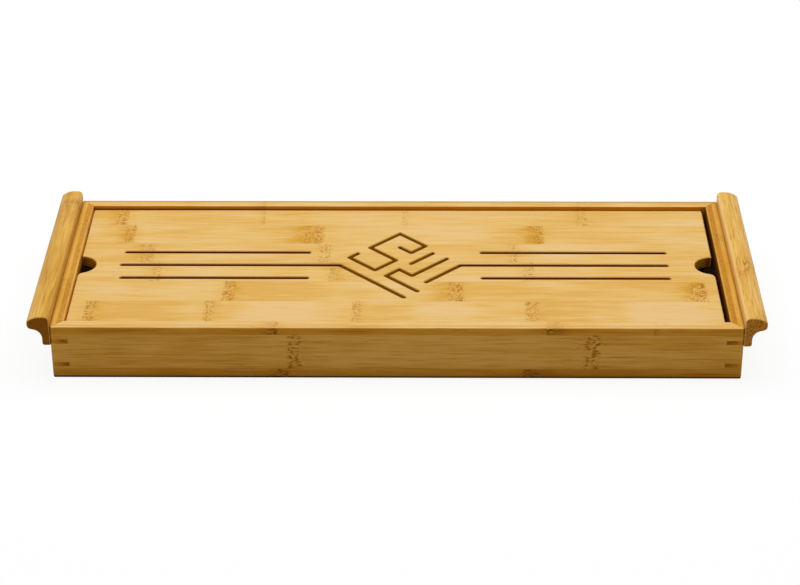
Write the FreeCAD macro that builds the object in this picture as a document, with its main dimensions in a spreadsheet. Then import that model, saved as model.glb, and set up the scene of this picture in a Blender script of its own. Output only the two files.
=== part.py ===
import FreeCAD, Part
import math
import os
from types import SimpleNamespace

import Sketcher
from FreeCAD import Placement, Rotation, Vector

# A low bamboo tea table: a mitred and keyed case with a rebated rim, a loose lid cut with
# drain slots, a moulded drip tray under it, and a rolled handle along each end.
#
# Millimetres. X runs along the case, Y to the back, Z up. The origin is at the centre of the
# footprint, on the surface that the case stands on.

SIZES = {
    # case walls
    "case_length": 368.0,
    "case_depth": 145.5,
    "case_height": 32.0,
    "wall_thickness": 10.8,
    "corner_radius": 2.0,
    "foot_radius": 2.4,
    "rim_outer_radius": 0.8,
    "rim_inner_radius": 0.5,
    "ledge_radius": 0.6,
    # rebate that carries the tray's flange and the lid on top of it
    "rebate_width": 3.8,
    "lid_recess": 2.4,
    # bottom panel in its groove
    "panel_height": 3.0,
    "panel_thickness": 4.0,
    "groove_depth": 4.0,
    "panel_gap": 0.3,
    # keys let into saw cuts across the mitred corners
    "key_leg": 9.3,
    "key_thickness": 2.5,
    "key_lower_height": 7.9,
    "key_upper_drop": 10.1,
    # handle moulding, measured outwards from the end wall and from the top of the walls
    "handle_reach": 11.8,
    "handle_rise": 6.1,
    "handle_crest_reach": 8.6,
    "handle_crest_radius": 10.0,
    "handle_shoulder_radius": 2.6,
    "handle_edge_rise": 3.2,
    "handle_edge_radius": 1.0,
    "handle_lip_drop": 1.0,
    "handle_lip_radius": 2.4,
    "handle_cove_drop": 2.7,
    "handle_cove_radius": 5.4,
    "handle_foot_width": 4.2,
    "handle_foot_drop": 11.2,
    "handle_foot_radius": 1.2,
    "handle_end_ease": 0.4,
    # blind dowels between end wall and handle
    "dowel_radius": 2.0,
    "dowel_end_margin": 27.45,
    "dowel_drop": 4.2,
    "dowel_wall_seat": 5.2,
    "dowel_handle_seat": 3.4,
    "dowel_clearance": 0.05,
    "dowel_end_gap": 0.2,
    # lid
    "lid_thickness": 6.0,
    "lid_end_play": 2.6,
    "lid_left_gap": 0.3,
    "lid_side_play": 1.0,
    "lid_corner_radius": 1.0,
    "lid_edge_ease": 0.4,
    "notch_radius": 9.5,
    "notch_front_radius": 4.0,
    "notch_back_radius": 0.8,
    # drain slots, cut with the notches and set off a little to the left with them
    "cut_offset": 0.6,
    "slot_width": 2.5,
    "slot_end_margin": 23.9,
    "slot_row_pitch": 14.55,
    "slot_inner_reach": 48.5,
    "slot_overrun": 1.2,
    "fret_pitch": 10.0,
    # battens under the lid and their screws
    "batten_width": 8.0,
    "batten_thickness": 4.0,
    "batten_end_margin": 13.5,
    "batten_edge_ease": 0.6,
    "screw_end_margin": 11.9,
    "screw_head_radius": 2.4,
    "screw_shank_radius": 1.2,
    "screw_length": 8.0,
    "screw_tip_length": 1.5,
    "screw_clearance": 0.05,
    # drip tray, hung in the rebate by its flange
    "tray_clearance": 0.7,
    "tray_rim_clearance": 0.5,
    "tray_rim_corner_radius": 2.5,
    "tray_panel_gap": 0.5,
    "tray_wall": 1.8,
    "tray_floor": 2.0,
    "tray_flange_thickness": 1.5,
    "tray_draft_angle": 6.0,
    "tray_corner_radius": 9.0,
    "tray_foot_radius": 1.5,
    "tray_well_radius": 2.5,
    "tray_bead_end_margin": 28.2,
    "tray_bead_width": 4.0,
    "tray_bead_height": 0.8,
    "tray_bead_pitch": 30.0,
}

# Routes of the fret in the middle of the lid, as shares of the fret pitch. Each place is given
# along the two diagonals: first towards the back right, then towards the back left.
LEFT_ARM_SHARES = [(-2.16, 2.16), (-2.16, -2.87)]
RIGHT_ARM_SHARES = [(2.55, -2.55), (-0.12, -2.55)]
SPIRAL_SHARES = [
    (1.65, 1.29),
    (1.65, 0.40),
    (2.78, 0.40),
    (2.78, 2.44),
    (0.45, 2.44),
    (0.45, 0.40),
    (-1.17, 0.40),
    (-1.17, 2.44),
    (-0.54, 2.44),
]
BAR_SHARES = [(0.77, -0.49), (2.46, -0.49)]
HOOK_SHARES = [(2.57, -1.49), (-0.155, -1.49), (-0.155, -0.49), (-1.17, -0.49), (-1.17, -2.92)]

BEAD_COUNT = 3
SLOT_ROWS = (-1, 1)
BOTH_SIDES = (-1, 1)
TOLERANCE_SHARE = 0.001


class Size:
    """A length: its number, and the expression that gives it from the named sizes."""

    def __init__(self, number, words):
        self.number = number
        self.words = words

    def combine(self, sign, other, number):
        words = other.words if isinstance(other, Size) else repr(other)
        return Size(number, "(%s %s %s)" % (self.words, sign, words))

    def __add__(self, other):
        return self.combine("+", other, self.number + number_of(other))

    def __sub__(self, other):
        return self.combine("-", other, self.number - number_of(other))

    def __mul__(self, other):
        return self.combine("*", other, self.number * number_of(other))

    def __truediv__(self, other):
        return self.combine("/", other, self.number / number_of(other))

    def __neg__(self):
        return Size(-self.number, "(0 - %s)" % self.words)


def number_of(value):
    return value.number if isinstance(value, Size) else value


ZERO = Size(0, "0")


def make_sheet(doc):
    """Write every driving dimension to the spreadsheet and return them by name."""
    sheet = doc.addObject("Spreadsheet::Sheet", "sizes")
    named = {}
    for row, (name, number) in enumerate(SIZES.items(), start=1):
        sheet.set("A%d" % row, name)
        sheet.set("B%d" % row, str(number))
        sheet.setAlias("B%d" % row, name)
        named[name] = Size(number, "sizes." + name)
    doc.recompute()
    return SimpleNamespace(**named)


def bind(thing, path, value):
    thing.setExpression(path, value.words)


def new_body(label):
    return doc.addObject("PartDesign::Body", label)


def new_sketch(body, name, role, lift=ZERO):
    """Start a sketch on one of the body's origin planes, lifted along the plane's normal."""
    sketch = body.newObject("Sketcher::SketchObject", name)
    plane = next(item for item in body.Origin.OriginFeatures if item.Role == role)
    sketch.AttachmentSupport = [(plane, "")]
    sketch.MapMode = "FlatFace"
    bind(sketch, "AttachmentOffset.Base.z", lift)
    return sketch


def hold(sketch, geometry, place, x, y):
    """Fix one point of a sketch at two sizes measured from the sketch's origin."""
    for kind, value, axis in (("DistanceX", x, -2), ("DistanceY", y, -1)):
        if value is ZERO:
            sketch.addConstraint(Sketcher.Constraint("PointOnObject", geometry, place, axis))
            continue
        constraint = Sketcher.Constraint(kind, -1, 1, geometry, place, value.number)
        index = sketch.addConstraint(constraint)
        bind(sketch, "Constraints[%d]" % index, value)


def outline(sketch, corners):
    """Close an outline of straight sides. A corner is (x, y), or (x, y, radius) if rounded."""
    count = len(corners)
    points = [Vector(corner[0].number, corner[1].number, 0) for corner in corners]
    arrivals = []
    departures = []
    middles = []
    for index, corner in enumerate(corners):
        here = points[index]
        if len(corner) == 2:
            arrivals.append(here)
            departures.append(here)
            middles.append(None)
            continue
        radius = corner[2].number
        back = (points[index - 1] - here).normalize()
        ahead = (points[(index + 1) % count] - here).normalize()
        half_angle = back.getAngle(ahead) / 2
        inward = (back + ahead).normalize()
        arrivals.append(here + back * (radius / math.tan(half_angle)))
        departures.append(here + ahead * (radius / math.tan(half_angle)))
        middles.append(here + inward * (radius / math.sin(half_angle) - radius))
    sides = []
    for index in range(count):
        line = Part.LineSegment(departures[index], arrivals[(index + 1) % count])
        sides.append(sketch.addGeometry(line, False))
    for index, corner in enumerate(corners):
        before = sides[index - 1]
        after = sides[index]
        if len(corner) == 2:
            sketch.addConstraint(Sketcher.Constraint("Coincident", before, 2, after, 1))
            hold(sketch, after, 1, corner[0], corner[1])
            continue
        arc = sketch.addGeometry(Part.Arc(arrivals[index], middles[index], departures[index]), False)
        nearer_start = sketch.getPoint(arc, 1).distanceToPoint(arrivals[index])
        nearer_end = sketch.getPoint(arc, 2).distanceToPoint(arrivals[index])
        first, last = (1, 2) if nearer_start < nearer_end else (2, 1)
        sketch.addConstraint(Sketcher.Constraint("Tangent", before, 2, arc, first))
        sketch.addConstraint(Sketcher.Constraint("Tangent", after, 1, arc, last))
        round_index = sketch.addConstraint(Sketcher.Constraint("Radius", arc, corner[2].number))
        bind(sketch, "Constraints[%d]" % round_index, corner[2])
        peak = sketch.addGeometry(Part.Point(points[index]), True)
        sketch.addConstraint(Sketcher.Constraint("PointOnObject", peak, 1, before))
        sketch.addConstraint(Sketcher.Constraint("PointOnObject", peak, 1, after))
        hold(sketch, peak, 1, corner[0], corner[1])


def rectangle(sketch, left, right, front, back, radius=None):
    places = [(left, front), (right, front), (right, back), (left, back)]
    outline(sketch, [place + (radius,) if radius else place for place in places])


def circle(sketch, x, y, radius):
    centre = Vector(x.number, y.number, 0)
    ring = sketch.addGeometry(Part.Circle(centre, Vector(0, 0, 1), radius.number), False)
    index = sketch.addConstraint(Sketcher.Constraint("Radius", ring, radius.number))
    bind(sketch, "Constraints[%d]" % index, radius)
    hold(sketch, ring, 3, x, y)


def route(sketch, places):
    """Draw an open run of straight centre lines."""
    points = [Vector(x.number, y.number, 0) for x, y in places]
    last = None
    for index in range(len(places) - 1):
        run = sketch.addGeometry(Part.LineSegment(points[index], points[index + 1]), False)
        if last is None:
            hold(sketch, run, 1, *places[index])
        else:
            sketch.addConstraint(Sketcher.Constraint("Coincident", last, 2, run, 1))
        hold(sketch, run, 2, *places[index + 1])
        last = run


def straight_slot(sketch, start, end, radius):
    """Draw a slot with round ends about two centres."""
    first = Vector(start[0].number, start[1].number, 0)
    second = Vector(end[0].number, end[1].number, 0)
    ahead = (second - first).normalize() * radius.number
    aside = Vector(-ahead.y, ahead.x, 0)
    near_end = Part.Arc(first + aside, first - ahead, first - aside)
    far_end = Part.Arc(second - aside, second + ahead, second + aside)
    near = sketch.addGeometry(near_end, False)
    far = sketch.addGeometry(far_end, False)
    lower = sketch.addGeometry(Part.LineSegment(first - aside, second - aside), False)
    upper = sketch.addGeometry(Part.LineSegment(second + aside, first + aside), False)
    for line, arc_from, arc_to in ((lower, near, far), (upper, far, near)):
        sketch.addConstraint(Sketcher.Constraint("Tangent", arc_from, 2, line, 1))
        sketch.addConstraint(Sketcher.Constraint("Tangent", line, 2, arc_to, 1))
    hold(sketch, near, 3, *start)
    hold(sketch, far, 3, *end)
    sketch.addConstraint(Sketcher.Constraint("Equal", near, far))
    index = sketch.addConstraint(Sketcher.Constraint("Radius", near, radius.number))
    bind(sketch, "Constraints[%d]" % index, radius)


def pad(body, name, sketch, length, centred=False):
    feature = body.newObject("PartDesign::Pad", name)
    feature.Profile = sketch
    bind(feature, "Length", length)
    if centred:
        feature.SideType = "Symmetric"
    doc.recompute()
    return feature


def pocket(body, name, profile, depth=None, upwards=True):
    """Cut a profile out of a body, through everything unless a depth is given."""
    volume_before = body.Shape.Volume
    feature = body.newObject("PartDesign::Pocket", name)
    feature.Profile = profile
    feature.Reversed = upwards
    if depth is None:
        feature.Type = "ThroughAll"
    else:
        bind(feature, "Length", depth)
    doc.recompute()
    if body.Shape.Volume >= volume_before:
        raise RuntimeError("%s cuts nothing from %s" % (name, body.Label))
    return feature


def ease(body, name, kind, edges, amount):
    """Add a Fillet or a Chamfer to edges or faces of the body's last feature."""
    last_feature = body.Tip
    feature = body.newObject("PartDesign::" + kind, name)
    feature.Base = (last_feature, edges)
    bind(feature, "Radius" if kind == "Fillet" else "Size", amount)
    doc.recompute()
    return feature


def level_faces(shape, height):
    """Names of the flat faces that lie level at a height."""
    names = []
    for index, face in enumerate(shape.Faces, start=1):
        box = face.BoundBox
        if abs(box.ZMin - height.number) < slack and box.ZMax - box.ZMin < slack:
            names.append("Face%d" % index)
    return names


def end_faces(shape, half_depth):
    """Names of the flat faces at both ends of a piece that runs along Y."""
    names = []
    for index, face in enumerate(shape.Faces, start=1):
        box = face.BoundBox
        flat = box.YMax - box.YMin < slack
        if flat and abs(abs(box.YMin) - half_depth.number) < slack:
            names.append("Face%d" % index)
    return names


def upright_edge(shape, x, half_width, side_y):
    """Name of the upright edge on the plane X = x, on one side of Y = 0 and within a half width."""
    for index, edge in enumerate(shape.Edges, start=1):
        box = edge.BoundBox
        upright = box.XMax - box.XMin < slack and box.YMax - box.YMin < slack
        near = abs(box.XMin - x.number) < slack and abs(box.YMin) < half_width.number + slack
        if upright and near and box.YMin * side_y > 0:
            return "Edge%d" % index
    raise RuntimeError("no upright edge at X = %.1f" % x.number)


def rings_at(shape, radius, height):
    """Names of the circular edges of one radius that lie at a height."""
    names = []
    for index, edge in enumerate(shape.Edges, start=1):
        if not isinstance(edge.Curve, Part.Circle):
            continue
        level = abs(edge.BoundBox.ZMin - height.number) < slack
        if level and abs(edge.Curve.Radius - radius.number) < slack:
            names.append("Edge%d" % index)
    return names


def make_wall(label, length, setback, turn):
    """One mitred wall, made as a front wall whose outer face is a setback from the centre."""
    body = new_body(label)
    outer = -setback
    inner = outer + size.wall_thickness
    lip = inner - size.rebate_width
    groove = inner - size.groove_depth
    ledge = lid_underside - size.tray_flange_thickness

    profile = new_sketch(body, "profile", "YZ_Plane")
    outline(profile, [
        (outer, ZERO, size.foot_radius),
        (inner, ZERO),
        (inner, size.panel_height),
        (groove, size.panel_height),
        (groove, panel_top),
        (inner, panel_top),
        (inner, ledge, size.ledge_radius),
        (lip, ledge),
        (lip, size.case_height, size.rim_inner_radius),
        (outer, size.case_height, size.rim_outer_radius),
    ])
    pad(body, "length", profile, length, centred=True)

    mitres = new_sketch(body, "mitre_lines", "XY_Plane")
    rounding = new_sketch(body, "corner_waste", "XY_Plane")
    for side in BOTH_SIDES:
        end = length / 2 * side
        heel = end - size.wall_thickness * side
        outline(mitres, [(end, outer), (end, inner), (heel, inner)])
        curve_waste(rounding, end, outer, side, size.corner_radius)
    pocket(body, "mitres", mitres)
    pocket(body, "corner_rounding", rounding)

    for name, height in key_heights:
        saw_cut = new_sketch(body, name + "_key_line", "XY_Plane", height)
        for side in BOTH_SIDES:
            end = length / 2 * side
            heel = end - size.key_leg * side
            outline(saw_cut, [(end, outer), (heel, outer), (end, outer + size.key_leg)])
        pocket(body, name + "_key_cuts", saw_cut, size.key_thickness)

    body.Placement = Placement(Vector(0, 0, 0), Rotation(Vector(0, 0, 1), turn))
    return body


def curve_waste(sketch, end, outer, side, radius):
    """The waste outside a rounded corner: two sides along the corner and an arc across it."""
    corner = Vector(end.number, outer.number, 0)
    first = corner + Vector(-side * radius.number, 0, 0)
    second = corner + Vector(0, radius.number, 0)
    centre = first + Vector(0, radius.number, 0)
    middle = centre + (corner - centre).normalize() * radius.number
    base = sketch.addGeometry(Part.LineSegment(corner, first), False)
    rise = sketch.addGeometry(Part.LineSegment(corner, second), False)
    arc = sketch.addGeometry(Part.Arc(first, middle, second), False)
    starts_first = sketch.getPoint(arc, 1).distanceToPoint(first) < radius.number / 2
    at_first, at_second = (1, 2) if starts_first else (2, 1)
    sketch.addConstraint(Sketcher.Constraint("Coincident", base, 1, rise, 1))
    hold(sketch, base, 1, end, outer)
    sketch.addConstraint(Sketcher.Constraint("Horizontal", base))
    sketch.addConstraint(Sketcher.Constraint("Vertical", rise))
    sketch.addConstraint(Sketcher.Constraint("Tangent", base, 2, arc, at_first))
    sketch.addConstraint(Sketcher.Constraint("Tangent", rise, 2, arc, at_second))
    index = sketch.addConstraint(Sketcher.Constraint("Radius", arc, radius.number))
    bind(sketch, "Constraints[%d]" % index, radius)


def drill_wall_for_dowels(body):
    """Blind holes in the outer face of an end wall, before it is turned into place."""
    outer_face = new_sketch(body, "dowel_centres", "XZ_Plane", half_length)
    for side in BOTH_SIDES:
        circle(outer_face, dowel_reach * side, dowel_height, dowel_hole_radius)
    pocket(body, "dowel_holes", outer_face, size.dowel_wall_seat, upwards=False)


def make_key(label, side_x, side_y, height):
    """A thin slice glued into the saw cut across one corner."""
    body = new_body(label)
    corner_x = half_length * side_x
    corner_y = half_depth * side_y
    slice_line = new_sketch(body, "slice", "XY_Plane", height)
    outline(slice_line, [
        (corner_x, corner_y, size.corner_radius),
        (corner_x - size.key_leg * side_x, corner_y),
        (corner_x, corner_y - size.key_leg * side_y),
    ])
    pad(body, "thickness", slice_line, size.key_thickness)
    return body


def make_bottom_panel():
    body = new_body("bottom_panel")
    reach_x = half_length - size.wall_thickness + size.groove_depth - size.panel_gap
    reach_y = half_depth - size.wall_thickness + size.groove_depth - size.panel_gap
    board = new_sketch(body, "board", "XY_Plane", size.panel_height)
    rectangle(board, -reach_x, reach_x, -reach_y, reach_y)
    pad(body, "thickness", board, size.panel_thickness)
    return body


def make_handle(label, turn):
    """A length of moulding with a rolled top and a cove that fingers hook under."""
    body = new_body(label)
    wall = half_length
    top = size.case_height
    nose = wall + size.handle_reach
    foot = wall + size.handle_foot_width
    profile = new_sketch(body, "moulding", "XZ_Plane")
    outline(profile, [
        (wall, top - size.handle_foot_drop),
        (foot, top - size.handle_foot_drop, size.handle_foot_radius),
        (foot, top - size.handle_cove_drop, size.handle_cove_radius),
        (nose, top - size.handle_lip_drop, size.handle_lip_radius),
        (nose, top + size.handle_edge_rise, size.handle_edge_radius),
        (wall + size.handle_crest_reach, top + size.handle_rise, size.handle_crest_radius),
        (wall, top + size.handle_rise, size.handle_shoulder_radius),
    ])
    pad(body, "length", profile, size.case_depth, centred=True)
    ease(body, "eased_ends", "Chamfer", end_faces(body.Shape, half_depth), size.handle_end_ease)

    inner_face = new_sketch(body, "dowel_centres", "YZ_Plane", half_length)
    for side in BOTH_SIDES:
        circle(inner_face, dowel_reach * side, dowel_height, dowel_hole_radius)
    pocket(body, "dowel_holes", inner_face, size.dowel_handle_seat)
    body.Placement = Placement(Vector(0, 0, 0), Rotation(Vector(0, 0, 1), turn))
    return body


def make_dowels(label, side):
    """Two dowels from an end wall into its handle, as one group."""
    length = size.dowel_wall_seat + size.dowel_handle_seat - size.dowel_end_gap * 2
    start = half_length - size.dowel_wall_seat + size.dowel_end_gap
    low_x = start if side > 0 else -start - length
    dowels = []
    for place in BOTH_SIDES:
        dowel = doc.addObject("Part::Cylinder", "%s_%s" % (label, "back" if place > 0 else "front"))
        dowel.Placement.Rotation = Rotation(Vector(0, 1, 0), 90)
        bind(dowel, "Radius", size.dowel_radius)
        bind(dowel, "Height", length)
        bind(dowel, "Placement.Base.x", low_x)
        bind(dowel, "Placement.Base.y", dowel_reach * place)
        bind(dowel, "Placement.Base.z", dowel_height)
        dowels.append(dowel)
    group = doc.addObject("Part::Compound", label)
    group.Links = dowels
    doc.recompute()
    return group


def fret_place(along, across):
    """A place in the fret, from shares of the pitch along its two diagonals."""
    diagonal = math.sqrt(2)
    x = cut_centre + size.fret_pitch * ((along - across) / diagonal)
    y = size.fret_pitch * ((along + across) / diagonal)
    return x, y


def draw_straight_slots(sketch):
    """Round-ended slots: two outer rows on each side of the fret, and the fret's bar."""
    runs = []
    for row in SLOT_ROWS:
        y = size.slot_row_pitch * row
        for side in BOTH_SIDES:
            far_end = cut_centre + slot_row_end * side
            near_end = cut_centre + size.slot_inner_reach * side
            runs.append(((far_end, y), (near_end, y)))
    runs.append([fret_place(along, across) for along, across in BAR_SHARES])
    for start, end in runs:
        straight_slot(sketch, start, end, size.slot_width / 2)


def draw_bent_slots(sketch):
    """Centre lines of the slots that turn: both middle rows with their arms, and the fret."""
    left_end = cut_centre - slot_row_end - size.slot_overrun
    right_end = cut_centre + slot_row_end
    for shares, far_end in ((LEFT_ARM_SHARES, left_end), (RIGHT_ARM_SHARES, right_end)):
        bend, tip = [fret_place(along, across) for along, across in shares]
        route(sketch, [(far_end, ZERO), (bend[0], ZERO), tip])
    for shares in (SPIRAL_SHARES, HOOK_SHARES):
        route(sketch, [fret_place(along, across) for along, across in shares])


def make_lid_board():
    """The loose board: finger notches at both ends and slots as wide as the cutter."""
    body = new_body("lid_board")
    left = lid_centre - lid_length / 2
    right = lid_centre + lid_length / 2
    board = new_sketch(body, "board", "XY_Plane", lid_underside)
    rectangle(board, left, right, -lid_depth / 2, lid_depth / 2, size.lid_corner_radius)
    pad(body, "thickness", board, size.lid_thickness)

    notches = new_sketch(body, "notch_circles", "XY_Plane", lid_underside)
    circle(notches, cut_centre - lid_length / 2, ZERO, size.notch_radius)
    circle(notches, cut_centre + lid_length / 2, ZERO, size.notch_radius)
    pocket(body, "finger_notches", notches)
    for name, side_y, radius in (("front", -1, size.notch_front_radius), ("back", 1, size.notch_back_radius)):
        mouths = [upright_edge(body.Shape, end, size.notch_radius, side_y) for end in (left, right)]
        ease(body, name + "_of_notch_mouths", "Fillet", mouths, radius)

    centre_lines = new_sketch(body, "bent_slot_lines", "XY_Plane", lid_underside)
    draw_bent_slots(centre_lines)
    rims = body.newObject("PartDesign::SubShapeBinder", "bent_slot_rims")
    rims.Support = [(centre_lines, ("",))]
    bind(rims, "Offset", size.slot_width / 2)
    rims.OffsetJoinType = "Arcs"
    rims.OffsetFill = False
    rims.OffsetOpenResult = False
    doc.recompute()
    pocket(body, "bent_slots", rims)
    straight = new_sketch(body, "straight_slot_rims", "XY_Plane", lid_underside)
    draw_straight_slots(straight)
    pocket(body, "straight_slots", straight)

    pilot_depth = size.screw_length - size.batten_thickness + size.screw_clearance
    pilots = new_sketch(body, "pilot_centres", "XY_Plane", lid_underside)
    for side in BOTH_SIDES:
        for place in BOTH_SIDES:
            circle(pilots, batten_centre(side), screw_reach * place, screw_hole_radius)
    pocket(body, "pilot_holes", pilots, pilot_depth)
    ease(body, "eased_top", "Chamfer", level_faces(body.Shape, lid_top), size.lid_edge_ease)
    return body


def batten_centre(side):
    """Battens lie midway between the finger notches and the ends of the slots."""
    inset = (size.notch_radius + size.slot_end_margin) / 2
    return lid_centre + (lid_length / 2 - inset) * side


def make_batten(label, side):
    body = new_body(label)
    centre = batten_centre(side)
    reach_x = size.batten_width / 2
    strip = new_sketch(body, "strip", "XY_Plane", batten_underside)
    rectangle(strip, centre - reach_x, centre + reach_x, -batten_reach, batten_reach)
    pad(body, "thickness", strip, size.batten_thickness)
    ease(body, "eased_edges", "Chamfer", level_faces(body.Shape, batten_underside), size.batten_edge_ease)

    holes = new_sketch(body, "screw_centres", "XY_Plane", batten_underside)
    for place in BOTH_SIDES:
        circle(holes, centre, screw_reach * place, screw_hole_radius)
    pocket(body, "screw_holes", holes)
    rings = rings_at(body.Shape, screw_hole_radius, batten_underside)
    ease(body, "countersinks", "Chamfer", rings, size.screw_head_radius - size.screw_shank_radius)
    return body


def make_screws(label, side):
    """Two countersunk screws up through a batten, as one group."""
    body = new_body(label)
    body.AllowCompound = True
    head = size.screw_head_radius
    shank = size.screw_shank_radius
    bottom = batten_underside
    top = bottom + size.screw_length
    profile = new_sketch(body, "profile", "XZ_Plane", screw_reach)
    bind(profile, "AttachmentOffset.Base.x", batten_centre(side))
    outline(profile, [
        (ZERO, bottom),
        (head, bottom),
        (shank, bottom + head - shank),
        (shank, top - size.screw_tip_length),
        (ZERO, top),
    ])
    turned = body.newObject("PartDesign::Revolution", "turned")
    turned.Profile = profile
    turned.ReferenceAxis = (profile, ["V_Axis"])
    turned.Angle = 360
    doc.recompute()
    pair = body.newObject("PartDesign::Mirrored", "pair")
    pair.Originals = [turned]
    plane = next(item for item in body.Origin.OriginFeatures if item.Role == "XZ_Plane")
    pair.MirrorPlane = (plane, [""])
    body.Tip = pair
    doc.recompute()
    return body


def tray_section(body, name, height, inset, radius):
    """A rounded rectangle of the tray, a given inset inside the outside of the case."""
    section = new_sketch(body, name, "XY_Plane", height)
    reach_x = half_length - inset
    reach_y = half_depth - inset
    rectangle(section, -reach_x, reach_x, -reach_y, reach_y, radius)
    return section


def make_drip_tray():
    """A moulded tray: drafted sides, a flange that hangs in the rebate, beads along the floor."""
    body = new_body("drip_tray")
    bottom = panel_top + size.tray_panel_gap
    floor = bottom + size.tray_floor
    top = lid_underside
    rim = lip_thickness + size.tray_rim_clearance
    side = size.wall_thickness + size.tray_clearance
    mouth = side + size.tray_wall
    mouth_corner = size.tray_corner_radius - size.tray_wall

    side_line = tray_section(body, "side_outline", top, side, size.tray_corner_radius)
    sides = pad(body, "drafted_sides", side_line, top - bottom)
    sides.Reversed = True
    bind(sides, "TaperAngle", -size.tray_draft_angle)
    doc.recompute()
    ease(body, "rounded_foot", "Fillet", level_faces(body.Shape, bottom), size.tray_foot_radius)

    flange_line = tray_section(body, "flange_outline", top, rim, size.tray_rim_corner_radius)
    flange = pad(body, "flange", flange_line, size.tray_flange_thickness)
    flange.Reversed = True
    doc.recompute()

    mouth_line = tray_section(body, "mouth_outline", top, mouth, mouth_corner)
    well = pocket(body, "well", mouth_line, top - floor, upwards=False)
    bind(well, "TaperAngle", -size.tray_draft_angle)
    doc.recompute()
    ease(body, "rounded_floor", "Fillet", level_faces(body.Shape, floor), size.tray_well_radius)

    bead_line = new_sketch(body, "bead_outline", "XY_Plane", floor)
    first_y = -size.tray_bead_pitch * ((BEAD_COUNT - 1) / 2)
    reach = half_length - mouth - size.tray_bead_end_margin
    half_width = size.tray_bead_width / 2
    rectangle(bead_line, -reach, reach, first_y - half_width, first_y + half_width)
    bead = pad(body, "bead", bead_line, size.tray_bead_height)
    beads = body.newObject("PartDesign::LinearPattern", "beads")
    beads.Originals = [bead]
    beads.Direction = (bead_line, ["V_Axis"])
    bind(beads, "Length", size.tray_bead_pitch * (BEAD_COUNT - 1))
    beads.Occurrences = BEAD_COUNT
    body.Tip = beads
    doc.recompute()
    return body


def check_document():
    """Stop if any object of the document failed, or any sub-part isn't a valid solid."""
    doc.recompute()
    for item in doc.Objects:
        if "Invalid" in item.State or "Error" in item.State:
            raise RuntimeError("%s failed: %s" % (item.Label, item.State))
    for piece in pieces:
        shape = piece.Shape
        if shape.isNull() or not shape.isValid() or not shape.Solids:
            raise RuntimeError("%s has no valid solid" % piece.Label)


def write_parts():
    os.makedirs("parts", exist_ok=True)
    for piece in pieces:
        piece.Shape.exportStep("parts/%s.step" % piece.Label)
        box = piece.Shape.BoundBox
        spans = "%.1f x %.1f x %.1f" % (box.XLength, box.YLength, box.ZLength)
        print("%-26s %d solid, %s" % (piece.Label, len(piece.Shape.Solids), spans))


doc = FreeCAD.newDocument("gongfu_tea_table")
size = make_sheet(doc)

# Sizes that several pieces share, and the slack within which faces and edges are found.
half_length = size.case_length / 2
half_depth = size.case_depth / 2
panel_top = size.panel_height + size.panel_thickness
lip_thickness = size.wall_thickness - size.rebate_width
lid_top = size.case_height - size.lid_recess
lid_underside = lid_top - size.lid_thickness
lid_length = (half_length - lip_thickness) * 2 - size.lid_end_play
lid_depth = (half_depth - lip_thickness) * 2 - size.lid_side_play
lid_centre = lip_thickness + size.lid_left_gap + lid_length / 2 - half_length
cut_centre = lid_centre - size.cut_offset
slot_row_end = lid_length / 2 - size.slot_end_margin - size.slot_width / 2
slack = size.case_height.number * TOLERANCE_SHARE
batten_underside = lid_underside - size.batten_thickness
batten_reach = lid_depth / 2 - size.batten_end_margin
screw_reach = batten_reach - size.screw_end_margin
screw_hole_radius = size.screw_shank_radius + size.screw_clearance
dowel_height = size.case_height - size.dowel_drop
dowel_reach = half_depth - size.dowel_end_margin
dowel_hole_radius = size.dowel_radius + size.dowel_clearance
key_heights = (("lower", size.key_lower_height), ("upper", size.case_height - size.key_upper_drop))

pieces = []

# Walls: front and back run along X, the end walls are the same moulding turned a quarter.
pieces.append(make_wall("front_wall", size.case_length, half_depth, 0))
pieces.append(make_wall("back_wall", size.case_length, half_depth, 180))
for label, turn in (("left_end_wall", -90), ("right_end_wall", 90)):
    end_wall = make_wall(label, size.case_depth, half_length, turn)
    drill_wall_for_dowels(end_wall)
    pieces.append(end_wall)

# Keys: two in each corner.
for side_y, depth_word in ((-1, "front"), (1, "back")):
    for side_x, length_word in ((-1, "left"), (1, "right")):
        for height_word, height in key_heights:
            key_label = "%s_%s_key_%s" % (depth_word, length_word, height_word)
            pieces.append(make_key(key_label, side_x, side_y, height))

pieces.append(make_bottom_panel())

# Handles and their dowels.
pieces.append(make_handle("right_handle", 0))
pieces.append(make_handle("left_handle", 180))
pieces.append(make_dowels("right_handle_dowels", 1))
pieces.append(make_dowels("left_handle_dowels", -1))

pieces.append(make_drip_tray())

# Lid, battens and screws.
pieces.append(make_lid_board())
for label, side in (("left", -1), ("right", 1)):
    pieces.append(make_batten(label + "_lid_batten", side))
    pieces.append(make_screws(label + "_batten_screws", side))

check_document()
write_parts()
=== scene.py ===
import math

import bpy
from mathutils import Matrix, Vector


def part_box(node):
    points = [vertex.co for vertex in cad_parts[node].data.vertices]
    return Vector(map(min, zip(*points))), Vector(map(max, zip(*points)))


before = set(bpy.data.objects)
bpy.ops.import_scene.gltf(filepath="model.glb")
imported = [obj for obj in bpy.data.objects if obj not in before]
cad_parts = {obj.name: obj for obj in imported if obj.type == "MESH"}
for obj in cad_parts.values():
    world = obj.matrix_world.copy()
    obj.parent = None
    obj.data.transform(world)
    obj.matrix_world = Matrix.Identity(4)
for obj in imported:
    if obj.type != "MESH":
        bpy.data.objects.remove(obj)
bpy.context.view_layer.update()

# Lengths are in metres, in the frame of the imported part: X along the case, Y to the back, Z up.
MM = 0.001

# Half the case's length and depth over its walls.
HALF_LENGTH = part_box("right_end_wall")[1].x
HALF_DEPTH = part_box("back_wall")[1].y

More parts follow.
